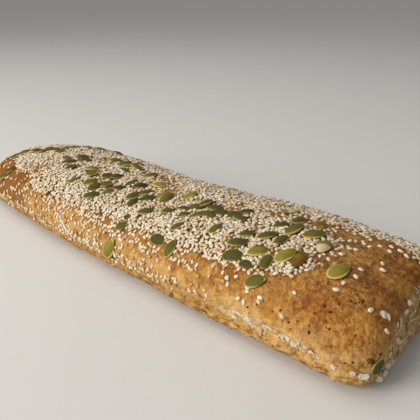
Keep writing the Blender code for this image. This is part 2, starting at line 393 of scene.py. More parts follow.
def stretch(tree, coordinates, factors):
    """Scales coordinates by a factor along each axis, or a colour by a factor in each channel."""
    sockets = {0: coordinates, 1: factors}
    return add_node(tree, "ShaderNodeVectorMath", sockets, operation="MULTIPLY").outputs[0]


def texture(tree, coordinates, scale, detail=3.0, roughness=0.5):
    """Noise from 0 to 1; scale is in waves a metre."""
    sockets = {"Vector": coordinates, "Scale": scale, "Detail": detail, "Roughness": roughness}
    return add_node(tree, "ShaderNodeTexNoise", sockets).outputs[0]


def bake_mottle_group():
    """Uneven browning: broad patches with finer grain in them, as a tone from 0 to 1 and a height."""
    group = bpy.data.node_groups.new("bake mottle", "ShaderNodeTree")
    group.interface.new_socket(name="Coordinates", in_out="INPUT", socket_type="NodeSocketVector")
    for name, value in (("Patches", 40.0), ("Grain", 260.0), ("Grain Share", 0.4)):
        socket = group.interface.new_socket(name=name, in_out="INPUT", socket_type="NodeSocketFloat")
        socket.default_value = value
    for name in ("Tone", "Height"):
        group.interface.new_socket(name=name, in_out="OUTPUT", socket_type="NodeSocketFloat")
    inside = group.nodes.new("NodeGroupInput").outputs
    outside = group.nodes.new("NodeGroupOutput").inputs
    patches = texture(group, inside["Coordinates"], inside["Patches"])
    grain = texture(group, inside["Coordinates"], inside["Grain"], 3.0, 0.58)
    blend = add_node(group, "ShaderNodeMix", {0: inside["Grain Share"], 2: patches, 3: grain})
    group.links.new(spread(group, blend.outputs[0], 0.36, 0.64), outside["Tone"])
    group.links.new(grain, outside["Height"])
    return group


bake_mottle = bake_mottle_group()


def place_mottle(tree, coordinates, patches, grain, grain_share):
    sockets = {"Coordinates": coordinates, "Patches": patches, "Grain": grain, "Grain Share": grain_share}
    return add_node(tree, "ShaderNodeGroup", sockets, node_tree=bake_mottle).outputs


def piece_tone(tree, mottle, mottle_share, shade_share):
    """Tone of a strewn piece: a share of its mottle on top of a share of its own shade."""
    own = times(tree, carried(tree, "shade"), shade_share)
    return calculate(tree, "MULTIPLY_ADD", mottle["Tone"], mottle_share, own)


def ramp(tree, value, *stops):
    made = add_node(tree, "ShaderNodeValToRGB", {0: value})
    band = made.color_ramp
    while len(band.elements) < len(stops):
        band.elements.new(0.5)
    for element, (position, colour) in zip(band.elements, stops):
        element.position = position
        element.color = (*colour, 1.0)
    return made.outputs[0]


def dots(tree, coordinates, scale, radius, share):
    """Round spots, one in some of the cells: 1 inside a spot, and a share of the cells has one."""
    sockets = {"Vector": coordinates, "Scale": scale, "Randomness": 1.0}
    cells = add_node(tree, "ShaderNodeTexVoronoi", sockets)
    near = spread(tree, cells.outputs["Distance"], radius, radius * 0.55)
    split = add_node(tree, "ShaderNodeSeparateColor", {0: cells.outputs["Color"]})
    return times(tree, near, calculate(tree, "LESS_THAN", split.outputs[0], share))


def crust_finish():
    """Baked crust: mottled golden brown, redder at both ends, with bran specks, pores and flour."""
    material, tree, shader, coordinates = start_finish("baked crust")
    split = add_node(tree, "ShaderNodeSeparateXYZ", {0: coordinates}).outputs
    mottle = place_mottle(tree, coordinates, 75.0, 330.0, 0.55)
    golden = ((0.0, (0.252, 0.089, 0.012)), (0.5, (0.382, 0.163, 0.029)), (1.0, (0.560, 0.303, 0.082)))
    toasted = ((0.0, (0.180, 0.055, 0.007)), (0.5, (0.310, 0.116, 0.015)), (1.0, (0.480, 0.215, 0.040)))
    near_end = spread(tree, split["X"], 0.105, 0.180)
    high = spread(tree, split["Z"], 0.014, 0.036)
    baked = times(tree, near_end, calculate(tree, "MULTIPLY_ADD", high, 0.65, 0.35))
    far_end = spread(tree, split["X"], -0.080, -0.125)
    baked = calculate(tree, "MAXIMUM", baked, far_end)
    pale_bake = ramp(tree, mottle["Tone"], *golden)
    colour = mix_colour(tree, baked, pale_bake, ramp(tree, mottle["Tone"], *toasted))
    streaks = texture(tree, coordinates, 140.0, 4.0, 0.6)
    reddened = times(tree, spread(tree, streaks, 0.52, 0.68), 0.60)
    colour = mix_colour(tree, reddened, colour, (0.300, 0.088, 0.008))
    low = spread(tree, split["Z"], 0.032, 0.015)
    low = times(tree, low, spread(tree, streaks, 0.67, 0.42))
    low = times(tree, low, calculate(tree, "MULTIPLY_ADD", far_end, -0.80, 0.90))
    colour = mix_colour(tree, low, colour, (0.630, 0.385, 0.140))
    broad = texture(tree, coordinates, 34.0, 2.0)
    golden_patch = times(tree, spread(tree, broad, 0.50, 0.66), 0.18)
    colour = mix_colour(tree, golden_patch, colour, (0.640, 0.360, 0.085))
    colour = mix_colour(tree, times(tree, far_end, 0.68), colour, (0.190, 0.064, 0.010))
    # Painted shade between and under the seeds: crust darkened where they lie thick, less at the far end
    wet = carried(tree, "painted_seed_gap_shade")
    painted_shade_between_seeds = times(tree, wet, calculate(tree, "MULTIPLY_ADD", far_end, -0.20, 0.80))
    colour = mix_colour(tree, painted_shade_between_seeds, colour, (0.092, 0.035, 0.009))
    # Bran specks and pores
    specks = dots(tree, coordinates, 520.0, 0.28, 0.35)
    large_specks = dots(tree, coordinates, 200.0, 0.16, 0.5)
    bran = times(tree, specks, 0.40)
    colour = mix_colour(tree, bran, colour, (0.130, 0.048, 0.010))
    large_bran = times(tree, large_specks, 0.85)
    colour = mix_colour(tree, large_bran, colour, (0.060, 0.022, 0.008))
    # Flour left on the crust
    dust = texture(tree, coordinates, 900.0)
    drift = texture(tree, coordinates, 52.0, 4.0)
    on_top = spread(tree, split["Z"], 0.034, 0.044)
    dusty = calculate(tree, "MAXIMUM", spread(tree, drift, 0.45, 0.80), on_top)
    flour = times(tree, spread(tree, dust, 0.45, 0.75), dusty)
    colour = mix_colour(tree, times(tree, flour, 0.42), colour, (0.620, 0.420, 0.200))
    # The rough rim under the seam, which the tray kept paler
    low_edge = calculate(tree, "MULTIPLY_ADD", streaks, 0.008, split["Z"])
    rim = spread(tree, low_edge, 0.0150, 0.0115)
    rim_tone = texture(tree, stretch(tree, coordinates, (0.5, 0.5, 1.6)), 330.0, 4.0, 0.6)
    rim_tones = ((0.34, (0.140, 0.055, 0.014)), (0.44, (0.400, 0.200, 0.055)),
                 (0.54, (0.560, 0.340, 0.115)), (0.68, (0.720, 0.510, 0.230)))
    colour = mix_colour(tree, rim, colour, ramp(tree, rim_tone, *rim_tones))
    # The pale seam, patchy with flour
    seam = carried(tree, "pale_seam")
    patches = texture(tree, coordinates, 200.0, 4.0, 0.55)
    halo = times(tree, spread(tree, seam, 0.10, 0.80), spread(tree, patches, 0.25, 0.65))
    colour = mix_colour(tree, times(tree, halo, 0.50), colour, (0.620, 0.385, 0.150))
    pale = calculate(tree, "ADD", seam, calculate(tree, "MULTIPLY_ADD", patches, 2.2, -1.1))
    near_seam = spread(tree, split["X"], 0.095, 0.125)
    thick = calculate(tree, "MULTIPLY_ADD", near_seam, 0.40, 0.48)
    pale = times(tree, spread(tree, pale, 0.62, 1.15), thick)
    seam_tones = ((0.40, (0.500, 0.290, 0.110)), (0.54, (0.680, 0.480, 0.250)),
                  (0.66, (0.780, 0.660, 0.470)))
    floury = calculate(tree, "MULTIPLY_ADD", near_seam, 0.08, patches)
    colour = mix_colour(tree, pale, colour, ramp(tree, floury, *seam_tones))
    # Away from the near corner the seam and rim baked browner
    away = spread(tree, near_seam, 1.0, 0.0)
    browner = times(tree, spread(tree, split["Z"], 0.022, 0.013), away)
    colour = mix_colour(tree, browner, colour, stretch(tree, colour, (0.82, 0.76, 0.65)))
    # The torn near end: dull dough with flour caught on its ridges
    torn = carried(tree, "torn_end")
    torn_tones = ((0.30, (0.150, 0.060, 0.014)), (0.44, (0.420, 0.220, 0.072)),
                  (0.56, (0.580, 0.370, 0.155)), (0.72, (0.740, 0.560, 0.330)))
    torn_tone = texture(tree, stretch(tree, coordinates, (1.0, 1.0, 0.45)), 300.0, 5.0, 0.6)
    colour = mix_colour(tree, torn, colour, ramp(tree, torn_tone, *torn_tones))
    set_surface(tree, shader, colour, 0.66, 0.14)
    # Fine relief: grain, pores and the pits where bran lies
    pores = dots(tree, coordinates, 480.0, 0.30, 0.40)
    blisters = texture(tree, coordinates, 280.0, 1.5, 0.5)
    height = times(tree, pores, -0.0004)
    height = calculate(tree, "MULTIPLY_ADD", blisters, 0.0024, height)
    height = calculate(tree, "MULTIPLY_ADD", mottle["Height"], 0.0010, height)
    height = calculate(tree, "MULTIPLY_ADD", dust, 0.0004, height)
    height = calculate(tree, "MULTIPLY_ADD", large_specks, 0.0004, height)
    ridges = times(tree, torn_tone, torn)
    height = calculate(tree, "MULTIPLY_ADD", ridges, 0.0030, height)
    add_relief(tree, shader, height)
    return material


crust.data.materials.append(crust_finish())
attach(crust, "root")
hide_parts("loaf")

crust_tree = BVHTree.FromObject(crust, bpy.context.evaluated_depsgraph_get())

# Pumpkin seeds
# Hulled seeds, plump and pointed at one end, with a thin raised rim. They were strewn by hand on the
# wet dough before baking, so they lie in drifts along the top, and a few lie alone.
PUMPKIN_SEED = (13.2, 7.6, 3.6)
PUMPKIN_SEED_LIFT = 0.5
# Pumpkin seeds that stand out one by one: x, turn round the loaf, heading from +X, size against the
# common seed, and shade from dark green at 0 to olive yellow at 0.85 and toasted brown at 1; over 1,
# the green skin has rubbed off, half of it at 1.2
LONE_SEEDS = (
    (125, 52, 29, 1.0, 0.50), (100, 25, 38, 0.8, 0.3), (101, 34, 30, 1.0, 0.22), (104, 43, 21, 1.1, 0.2),
    (115, 34, 59, 1.05, 0.76), (124, 39, -80, 0.9, 0.45), (111, 21, 57, 1.0, 0.35),
    (120, 20, -82, 0.95, 0.3), (119, 7, 84, 1.15, 0.45), (131, 5, 54, 1.15, 0.52),
    (130, 30, 73, 1.15, 0.80), (138, 30, -81, 1.1, 0.97), (142, 13, -73, 1.1, 1.2),
    (159, 26, 81, 1.2, 0.82), (102, -12, 63, 1.0, 1.3), (126, -8, -36, 0.95, 0.95),
    (49, 53, 6, 1.0, 0.15), (62, 55, 89, 1.0, 0.42), (56, 39, 70, 0.85, 0.4), (81, 30, 84, 0.95, 0.45),
    (15, 55, 27, 0.85, 0.35), (11, 77, 62, 1.25, 0.80), (194, 76, 62, 0.8, 0.22), (115, 45, 8, 0.75, 0.1),
    (110, 7, 48, 0.8, 0.25), (115, -3, 87, 1.0, 0.35), (83, 6, 45, 0.8, 0.15), (87, 15, 16, 0.9, 0.3),
)
# Drifts of seeds that fell together: x and turn of the middle, spread of each, lean of the drift in
# degrees of turn a millimetre, and count
SEED_DRIFTS = (
    (57, 20, 13, 5, -0.45, 11), (9, 15, 11, 8, 0.0, 10), (-37, 24, 14, 8, 0.0, 11),
    (-50, -13, 16, 6, 0.0, 7), (-128, -2, 17, 3, -0.85, 12), (-96, 12, 13, 9, 0.0, 6),
    (-144, 59, 5, 6, 0.0, 2),
)
MM_PER_DEGREE = 0.9
DRIFT_SPACING = 6.4
# Seeds in a drift are mostly this shade, and darker in the drifts past FAR_DRIFT_X
DRIFT_SHADE = 0.34
FAR_DRIFT_SHADE = 0.20
FAR_DRIFT_X = -80
SHADE_SPREAD = 0.24
# From this far out, in metres, a ray towards the heart of the loaf starts outside the crust
RAY_START = 0.2


def crust_place(x, turn):
    """Point on the crust at a turn round the loaf, with the crust's outward direction there."""
    angle = math.radians(turn)
    out = Vector((0.0, -HALF_WIDTH * math.sin(angle), (HEIGHT - SEAM_Z) * math.cos(angle))).normalized()
    heart = Vector((x, 0.0, SEAM_Z)) * MM
    place, normal, _, _ = crust_tree.ray_cast(heart + out * RAY_START, -out)
    return place, normal


def lay_flat(place, normal, heading, size, lift, tilt=0.0, tilt_heading=0.0):
    """Matrix that lays a piece on the crust, turned to its heading and tipped by its tilt."""
    along = (Vector((1.0, 0.0, 0.0)) - normal * normal.x).normalized()
    axes = Matrix((along, normal.cross(along), normal)).transposed()
    tip_axis = (math.cos(tilt_heading), math.sin(tilt_heading), 0.0)
    tipped = axes @ Matrix.Rotation(math.radians(tilt), 3, tip_axis)
    turned = tipped @ Matrix.Rotation(math.radians(heading), 3, "Z")
    scaled = turned @ Matrix.Diagonal(size if isinstance(size, Vector) else Vector((size, size, size)))
    return Matrix.Translation(place + normal * lift * MM) @ scaled.to_4x4()


draw = random.Random(12)
sway = random.Random(4)
pumpkin_lie = []
pumpkin_taken = []
pumpkin_shades = []
for x, turn, heading, size, shade in LONE_SEEDS:
    place, normal = crust_place(x, turn)
    lift = PUMPKIN_SEED_LIFT + sway.uniform(0.0, 0.7)
    tilt = sway.uniform(-8, 8)
    pumpkin_lie.append(lay_flat(place, normal, heading, size, lift, tilt, sway.uniform(0, 3)))
    pumpkin_taken.append((x, turn))
    pumpkin_shades.append(shade)
for middle_x, middle_turn, spread_x, spread_turn, lean, count in SEED_DRIFTS:
    laid = 0
    drift_shade = DRIFT_SHADE if middle_x > FAR_DRIFT_X else FAR_DRIFT_SHADE
    while laid < count:
        x = draw.gauss(middle_x, spread_x)
        turn = draw.gauss(middle_turn, spread_turn) + lean * (x - middle_x)
        gaps = [math.hypot(x - other_x, (turn - other_turn) * MM_PER_DEGREE)
                for other_x, other_turn in pumpkin_taken]
        if min(gaps) < DRIFT_SPACING:
            continue
        place, normal = crust_place(x, turn)
        heading, size = draw.uniform(-5, 95), draw.uniform(0.8, 1.1)
        lift = PUMPKIN_SEED_LIFT + sway.uniform(-0.2, 0.9)
        tilt = sway.uniform(-14, 14)
        pumpkin_lie.append(lay_flat(place, normal, heading, size, lift, tilt, sway.uniform(0, 3)))
        pumpkin_taken.append((x, turn))
        pumpkin_shades.append(min(max(sway.gauss(drift_shade, SHADE_SPREAD), 0.0), 1.0))
        laid += 1


def select_faces(piece, chosen):
    """Selects the faces of a piece that pass a test, for the next edit-mode tool."""
    bpy.ops.object.mode_set(mode="EDIT")
    bpy.ops.mesh.select_mode(type="FACE")
    bpy.ops.mesh.select_all(action="DESELECT")
    bpy.ops.object.mode_set(mode="OBJECT")
    for face in piece.data.polygons:
        face.select = chosen(face)
    bpy.ops.object.mode_set(mode="EDIT")


bpy.ops.object.select_all(action="DESELECT")
bpy.ops.mesh.primitive_cylinder_add(vertices=14, radius=0.5, depth=0.20, end_fill_type="NGON")
seed = bpy.context.object
for side in (1, -1):
    select_faces(seed, lambda face: face.normal.z * side > 0.9)
    # Each ring of the seed's face: how far it lies inside the last one, and how far it rises
    for thickness, rise in ((0.028, 0.05), (0.022, -0.03), (0.070, 0.16), (0.110, 0.12), (0.130, 0.07)):
        bpy.ops.mesh.inset(thickness=thickness)
        bpy.ops.transform.translate(value=(0.0, 0.0, rise * side))
    bpy.ops.mesh.poke()
    bpy.ops.object.mode_set(mode="OBJECT")
for vertex in seed.data.vertices:
    x, y, z = vertex.co
    width = (1.0 - 0.36 * x) * (1.0 - 1.5 * max(x, 0.0) ** 2 - 0.5 * min(x, 0.0) ** 2) * 1.04
    thin = 1.0 - 0.55 * (2.0 * abs(x)) ** 2.5
    shaped = Vector((x * PUMPKIN_SEED[0], y * PUMPKIN_SEED[1] * width, z * PUMPKIN_SEED[2] * thin))
    vertex.co = shaped * MM
round_off(seed, 1)


def strew(name, model, lies, shades, extent):
    """One mesh of many copies of a model, each with its own shade; the model's plan is its UV map."""
    count = len(model.data.vertices)
    corners = np.empty(len(model.data.loops), dtype=int)
    model.data.loops.foreach_get("vertex_index", corners)
    sides = np.empty(len(model.data.polygons), dtype=int)
    model.data.polygons.foreach_get("loop_total", sides)
    shape = np.empty(count * 3)
    model.data.vertices.foreach_get("co", shape)
    shape = shape.reshape(-1, 3)
    turns = np.array([np.array(lie.to_3x3()) for lie in lies])
    moves = np.array([lie.translation for lie in lies])
    points = np.einsum("nij,mj->nmi", turns, shape) + moves[:, None, :]
    all_corners = (corners[None, :] + count * np.arange(len(lies))[:, None]).ravel()
    all_sides = np.tile(sides, len(lies))
    data = bpy.data.meshes.new(name)
    data.vertices.add(points.shape[0] * points.shape[1])
    data.vertices.foreach_set("co", points.ravel())
    data.loops.add(len(all_corners))
    data.loops.foreach_set("vertex_index", all_corners)
    data.polygons.add(len(all_sides))
    data.polygons.foreach_set("loop_start", np.concatenate(([0], np.cumsum(all_sides)[:-1])))
    data.update(calc_edges=True)
    data.validate()
    data.attributes.new("shade", "FLOAT", "POINT").data.foreach_set("value", np.repeat(shades, count))
    plan = shape[corners, :2] / (np.array(extent) * MM) + 0.5
    data.uv_layers.new(name="plan").data.foreach_set("uv", np.tile(plan, (len(lies), 1)).ravel())
    data.shade_smooth()
    strewn = bpy.data.objects.new(name, data)
    bpy.context.scene.collection.objects.link(strewn)
    return strewn


def pumpkin_seed_finish():
    """Olive to dark green or toasted brown skin, pale rim with painted highlight, fine streaks
    lengthwise.
    """
    material, tree, shader, coordinates = start_finish("pumpkin seed skin")
    shade = carried(tree, "shade")
    plan = add_node(tree, "ShaderNodeUVMap", uv_map="plan").outputs[0]
    mottle = place_mottle(tree, coordinates, 160.0, 900.0, 0.4)
    tone = piece_tone(tree, mottle, 0.12, 0.84)
    skins = ((0.0, (0.038, 0.034, 0.009)), (0.30, (0.076, 0.064, 0.011)), (0.60, (0.145, 0.118, 0.014)),
             (0.78, (0.270, 0.215, 0.026)), (0.86, (0.155, 0.064, 0.007)), (0.97, (0.145, 0.056, 0.007)),
             (1.00, (0.190, 0.155, 0.030)))
    skin = ramp(tree, tone, *skins)
    along = add_node(tree, "ShaderNodeSeparateXYZ", {0: plan}).outputs[0]
    rubbed = spread(tree, calculate(tree, "MULTIPLY_ADD", shade, 2.0, along), 2.86, 3.0)
    skin = mix_colour(tree, rubbed, skin, (0.600, 0.500, 0.270))
    from_middle = {0: plan, 1: (0.5, 0.5, 0.0)}
    reach = add_node(tree, "ShaderNodeVectorMath", from_middle, operation="DISTANCE").outputs["Value"]
    # Rim: the skin's own paler edge plus a painted highlight, weaker on dark seeds, none on brown ones
    pale_and_lit_rim = calculate(tree, "MULTIPLY_ADD", shade, 0.75, 0.32, use_clamp=True)
    pale_and_lit_rim = times(tree, pale_and_lit_rim, spread(tree, shade, 0.98, 0.86))
    rim = times(tree, spread(tree, reach, 0.39, 0.48), pale_and_lit_rim)
    skin = mix_colour(tree, rim, skin, (0.650, 0.520, 0.150))
    streaks = texture(tree, stretch(tree, plan, (3.0, 26.0, 1.0)), 1.0)
    streaked = times(tree, spread(tree, streaks, 0.45, 0.75), 0.35)
    skin = mix_colour(tree, streaked, skin, (0.220, 0.180, 0.035))
    set_surface(tree, shader, skin, 0.40, 0.13)
    height = times(tree, streaks, 0.0005)
    add_relief(tree, shader, height, 0.6)
    return material


pumpkin_seeds = strew("pumpkin_seeds", seed, pumpkin_lie, pumpkin_shades, PUMPKIN_SEED[:2])
bpy.data.objects.remove(seed)
pumpkin_seeds.data.materials.append(pumpkin_seed_finish())
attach(pumpkin_seeds, "root")

# Sesame seeds
# Hulled cream-white sesame, strewn thickly over the top and back and thinly down the front. It lies
# between the pumpkin seeds, piled up a little where it is thick, and some of it is toasted.
SESAME_SEED = (3.2, 2.25, 1.3)
SESAME_SPACING = 1.70
SESAME_TRIES = 110000
# Most of the seeds that come to lie on another roll off: the share that stays, and how high it lies
PILE_SHARE = 0.16
PILE_LIFT = 0.85
# How thin the single seeds lie in front of the thick cover
THIN_X = (-198, -150, -128, -114, -100, -60, 0, 50, 80, 110, 140, 170, 198)
THIN_SHARE = (0.16, 0.14, 0.12, 0.16, 0.33, 0.38, 0.37, 0.32, 0.26, 0.12, 0.04, 0.02, 0.0)
# How thickly the seeds that rolled down lie along the seam in front
ROLLED_X = (-198, -130, -100, -70, -45, -30, -12, 2, 16, 30, 42, 56, 68, 80, 198)
ROLLED_SHARE = (0.0, 0.3, 0.2, 0.5, 0.5, 0.85, 0.85, 0.2, 0.6, 0.7, 0.25, 0.7, 0.5, 0.0, 0.0)
# Seeds that lie alone on the bare crust towards the near end: x, turn, heading and size
LONE_SESAME = (
    (132, 60, 10, 1.15), (123, 68, -60, 1.1), (119, 67, 30, 1.05), (123, 60, 5, 1.0), (110, 61, 85, 1.1),
    (165, 38, 20, 1.25), (165, 32, -70, 1.1), (170, 1, -50, 1.1), (173, 7, 15, 1.2), (166, 17, 10, 1.1),
    (161, -14, 15, 1.0), (165, -20, -20, 1.1), (167, -29, 10, 1.0), (167, -14, -35, 1.15),
    (170, -21, 5, 1.2), (174, -21, -15, 1.2), (173, -31, 20, 1.0), (167, 24, -30, 1.15),
    (148, 49, -10, 0.9), (158, -8, 60, 1.0),
    (155, 2, 20, 1.0), (152, 12, -15, 1.05), (156, -24, 30, 1.0), (183, 41, 80, 1.2), (187, 39, 70, 1.2),
    (189, 40, -30, 1.2), (188, 41, 40, 1.1), (192, 50, 20, 1.1), (108, 57, 40, 1.0),
)


def sesame_share(x, y, z, upright):
    """Chance that sesame stuck at a place on the crust."""
    p = Vector((x, y, z))
    carpet = wetted(x, y, z) * ease((z - 15.0) / 3.0)
    clumps = 0.45 * noise.noise(p / 9.0) + 0.30 * noise.noise(p / 24.0) + 0.35 * noise.noise(p / 4.0)
    carpet *= min(0.95 + clumps, 1.0)
    turn = turn_of(y, z)
    thin = float(np.interp(x, THIN_X, THIN_SHARE)) * (1.0 - 0.50 * ease((turn - 60.0) / 14.0))
    thin *= (1.0 + 0.5 * noise.noise(p / 15.0)) * ease((z - 12.0) / 3.0) * (1.0 if y < 0.0 else 0.5)
    rolled = float(np.interp(x, ROLLED_X, ROLLED_SHARE)) * bump(z - seam_height(x, y) - 1.8, 3.3)
    rolled *= ease(upright * 2.0) * ease(-y / 20.0)
    return max(carpet ** 3.0, thin ** 2.0, rolled ** 1.6)


crust.data.calc_loop_triangles()
triangles = np.empty(len(crust.data.loop_triangles) * 3, dtype=int)
crust.data.loop_triangles.foreach_get("vertices", triangles)
triangles = triangles.reshape(-1, 3)
first, second, third = (places[triangles[:, corner]] for corner in range(3))
crosses = np.cross(second - first, third - first)
areas = np.linalg.norm(crosses, axis=1) / 2.0
normals = crosses / (2.0 * areas[:, None] + 1e-18)
areas[normals[:, 2] < -0.2] = 0.0
areas[torn_end[triangles].max(axis=1) > 0.2] = 0.0
chance = np.random.default_rng(7)
chosen = chance.choice(len(areas), SESAME_TRIES, p=areas / areas.sum())
to_second, to_third = chance.random(SESAME_TRIES), chance.random(SESAME_TRIES)
over = to_second + to_third > 1.0
to_second[over], to_third[over] = 1.0 - to_second[over], 1.0 - to_third[over]
tries = first[chosen] + (second - first)[chosen] * to_second[:, None]
tries += (third - first)[chosen] * to_third[:, None]

pumpkin_back = [lie.inverted() for lie in pumpkin_lie]
CELL = 4.0 * MM
crowded = {}
pumpkin_near = {}
for number, lie in enumerate(pumpkin_lie):
    column, row = math.floor(lie.translation.x / CELL), math.floor(lie.translation.y / CELL)
    for step_x in range(-3, 4):
        for step_y in range(-3, 4):
            pumpkin_near.setdefault((column + step_x, row + step_y), []).append(number)


def under_pumpkin_seed(place):
    """True where a pumpkin seed covers the crust."""
    for number in pumpkin_near.get((math.floor(place.x / CELL), math.floor(place.y / CELL)), ()):
        local = pumpkin_back[number] @ place / MM
        inside = (local.x / (PUMPKIN_SEED[0] / 2)) ** 2 + (local.y / (PUMPKIN_SEED[1] / 2)) ** 2
        if inside < 0.80 and abs(local.z) < 5.0:
            return True
    return False


# How far each kind is browned: a seed is the first kind whose mark its own browning is under
SESAME_KINDS = (("toasted", -0.14), ("golden", 0.08), ("cream", 0.52), ("ivory", 1.0))
sesame_lies = {name: [] for name, _ in SESAME_KINDS}
for point, normal in zip(tries, normals[chosen]):
    place = Vector(point)
    normal = Vector(normal)
    share = sesame_share(*(place / MM), 1.0 - abs(normal.z))
    luck, stack = chance.random(2)
    if luck > share:
        continue
    column, row = math.floor(place.x / CELL), math.floor(place.y / CELL)
    around = [other for step_x in (-1, 0, 1) for step_y in (-1, 0, 1)
              for other in crowded.get((column + step_x, row + step_y), ())]
    crowd = sum((place - other).length < SESAME_SPACING * MM for other in around)
    piled = crowd > 0
    if crowd > 1 or (piled and stack > PILE_SHARE * share) or under_pumpkin_seed(place):
        continue
    crowded.setdefault((column, row), []).append(place)
    tilt = chance.normal(0.0, 5.0 + 9.0 * share)
    lift = chance.uniform(0.10, 0.45) + (PILE_LIFT if piled else 0.0)
    heading, size = chance.uniform(0, 360), chance.uniform(0.84, 1.14)
    tilt_heading = chance.uniform(0, 3.14)
    browning = chance.random() - 0.40 * (1.0 - share)
    kind = next(name for name, most in SESAME_KINDS if browning < most)
    sesame_lies[kind].append(lay_flat(place, normal, heading, size, lift, tilt, tilt_heading))
for x, turn, heading, size in LONE_SESAME:
    place, normal = crust_place(x, turn)
    sesame_lies["ivory"].append(lay_flat(place, normal, heading, size, 0.35))

bpy.ops.object.select_all(action="DESELECT")
end_up = (0.0, math.pi / 2, 0.0)
bpy.ops.mesh.primitive_uv_sphere_add(segments=6, ring_count=4, radius=0.5, rotation=end_up)
grain = bpy.context.object
bpy.ops.object.transform_apply(location=False, rotation=True, scale=False)
bpy.ops.object.mode_set(mode="EDIT")
bpy.ops.mesh.select_all(action="SELECT")
bpy.ops.transform.resize(value=[side * MM for side in SESAME_SEED], center_override=(0.0, 0.0, 0.0))
bpy.ops.object.mode_set(mode="OBJECT")
for vertex in grain.data.vertices:
    vertex.co.y *= 1.0 - 0.42 * vertex.co.x / (SESAME_SEED[0] * MM)


def sesame_finish(name, light, dark):
    """Smooth hulled seed, cream with a faintly darker tip; each seed has its own shade."""
    material, tree, shader, coordinates = start_finish(name)
    plan = add_node(tree, "ShaderNodeUVMap", uv_map="plan").outputs[0]
    mottle = place_mottle(tree, coordinates, 400.0, 1600.0, 0.5)
    tone = piece_tone(tree, mottle, 0.25, 0.75)
    skin = ramp(tree, tone, (0.0, dark), (0.6, light), (1.0, [min(part * 1.12, 1.0) for part in light]))
    tip = spread(tree, add_node(tree, "ShaderNodeSeparateXYZ", {0: plan}).outputs[0], 0.80, 1.0)
    skin = mix_colour(tree, times(tree, tip, 0.45), skin, [part * 0.62 for part in dark])
    set_surface(tree, shader, skin, 0.45)
    return material


SESAME_COLOURS = {
    "ivory": ((0.74, 0.64, 0.49), (0.66, 0.55, 0.39)),
    "cream": ((0.70, 0.59, 0.43), (0.60, 0.48, 0.32)),
    "golden": ((0.66, 0.48, 0.26), (0.54, 0.36, 0.17)),
    "toasted": ((0.48, 0.28, 0.11), (0.36, 0.18, 0.06)),
}
for kind, lies in sesame_lies.items():
    strewn = strew("sesame_" + kind, grain, lies, chance.random(len(lies)), SESAME_SEED[:2])
    strewn.data.materials.append(sesame_finish(kind + " sesame", *SESAME_COLOURS[kind]))
    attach(strewn, "root")
bpy.data.objects.remove(grain)

# Floury crumbs of dough
# Little lumps of dough and flour that caught in the seam as the dough was rolled in flour. They baked
# on pale and dry, thickest along the front near the near corner and on the torn end.
CRUMB = (3.0, 2.0, 1.0)
# Along the seam in front: x, and crumbs a millimetre there
CRUMB_X = (-198, -60, 60, 100, 114, 124, 160, 168, 178, 184, 196)
CRUMB_THICKNESS = (0.12, 0.15, 0.20, 0.3, 0.8, 1.9, 1.9, 0.8, 0.5, 0.6, 0.5)
CRUMB_STEP = 0.5
END_CRUMBS = 150
# In millimetres, a start for lines towards the loaf: outside its sides, and outside its near end
PAST_SIDE = 90.0
PAST_END = 230.0


def crust_from(start, towards):
    """Where a line from a point in millimetres meets the crust, and the crust's direction there."""
    place, normal, _, _ = crust_tree.ray_cast(Vector(start) * MM, Vector(towards))
    return place, normal


crumb_draw = random.Random(21)
crumb_lies = []


def drop_crumb(place, normal, smallest, largest):
    size = crumb_draw.triangular(smallest, largest, smallest)
    shape = Vector([crumb_draw.uniform(*span) for span in ((0.8, 1.3), (0.8, 1.2), (0.7, 1.2))])
    heading, tilt = crumb_draw.uniform(0, 360), crumb_draw.gauss(0.0, 16.0)
    tilt_heading = crumb_draw.uniform(0, 3.14)
    crumb_lies.append(lay_flat(place, normal, heading, shape * size, 0.15 * size, tilt, tilt_heading))


for side in (-1, 1):
    for step in range(int(2 * HALF_LENGTH / CRUMB_STEP)):
        x = step * CRUMB_STEP - HALF_LENGTH
        thickness = float(np.interp(x, CRUMB_X, CRUMB_THICKNESS)) * CRUMB_STEP
        patchy = max(0.5 + 1.6 * noise.noise(Vector((x / 9.0, side, 2.0))), 0.05)
        thickness *= patchy * (1.0 if side < 0 else 0.5)
        if crumb_draw.random() > thickness:
            continue
        z = seam_height(x, side) + crumb_draw.gauss(0.2, 1.2)
        place, normal = crust_from((x, side * PAST_SIDE, z), (0.0, -side, 0.0))
        if place is not None:
            drop_crumb(place, normal, 0.35, 1.45)
for _ in range(END_CRUMBS):
    y = crumb_draw.uniform(-44.0, 46.0)
    z = crumb_draw.uniform(3.0, float(np.interp(y, TORN_Y, TORN_TOP)))
    place, normal = crust_from((PAST_END, y, z), (-1.0, 0.0, 0.0))
    if place is not None:
        drop_crumb(place, normal, 0.4, 1.35)

bpy.ops.object.select_all(action="DESELECT")
bpy.ops.mesh.primitive_ico_sphere_add(subdivisions=2, radius=0.5)
crumb = bpy.context.object
for vertex in crumb.data.vertices:
    vertex.co *= 1.0 + 0.55 * noise.noise(vertex.co * 2.6)
    vertex.co = Vector([part * side * MM for part, side in zip(vertex.co, CRUMB)])


def flour_finish(name, light, dark):
    """Dry flour on pale dough: chalky, with the dough showing through in spots."""
    material, tree, shader, coordinates = start_finish(name)
    mottle = place_mottle(tree, coordinates, 420.0, 1500.0, 0.5)
    tone = piece_tone(tree, mottle, 0.45, 0.55)
    set_surface(tree, shader, ramp(tree, tone, (0.15, dark), (0.75, light)), 0.9, 0.1)
    height = times(tree, mottle["Height"], 0.0012)
    add_relief(tree, shader, height)
    return material


crumb_shades = [crumb_draw.random() for _ in crumb_lies]
seam_crumbs = strew("seam_crumbs", crumb, crumb_lies, crumb_shades, CRUMB[:2])
bpy.data.objects.remove(crumb)
seam_crumbs.data.materials.append(flour_finish("floury crumb", (0.84, 0.72, 0.54), (0.60, 0.40, 0.20)))
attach(seam_crumbs, "root")

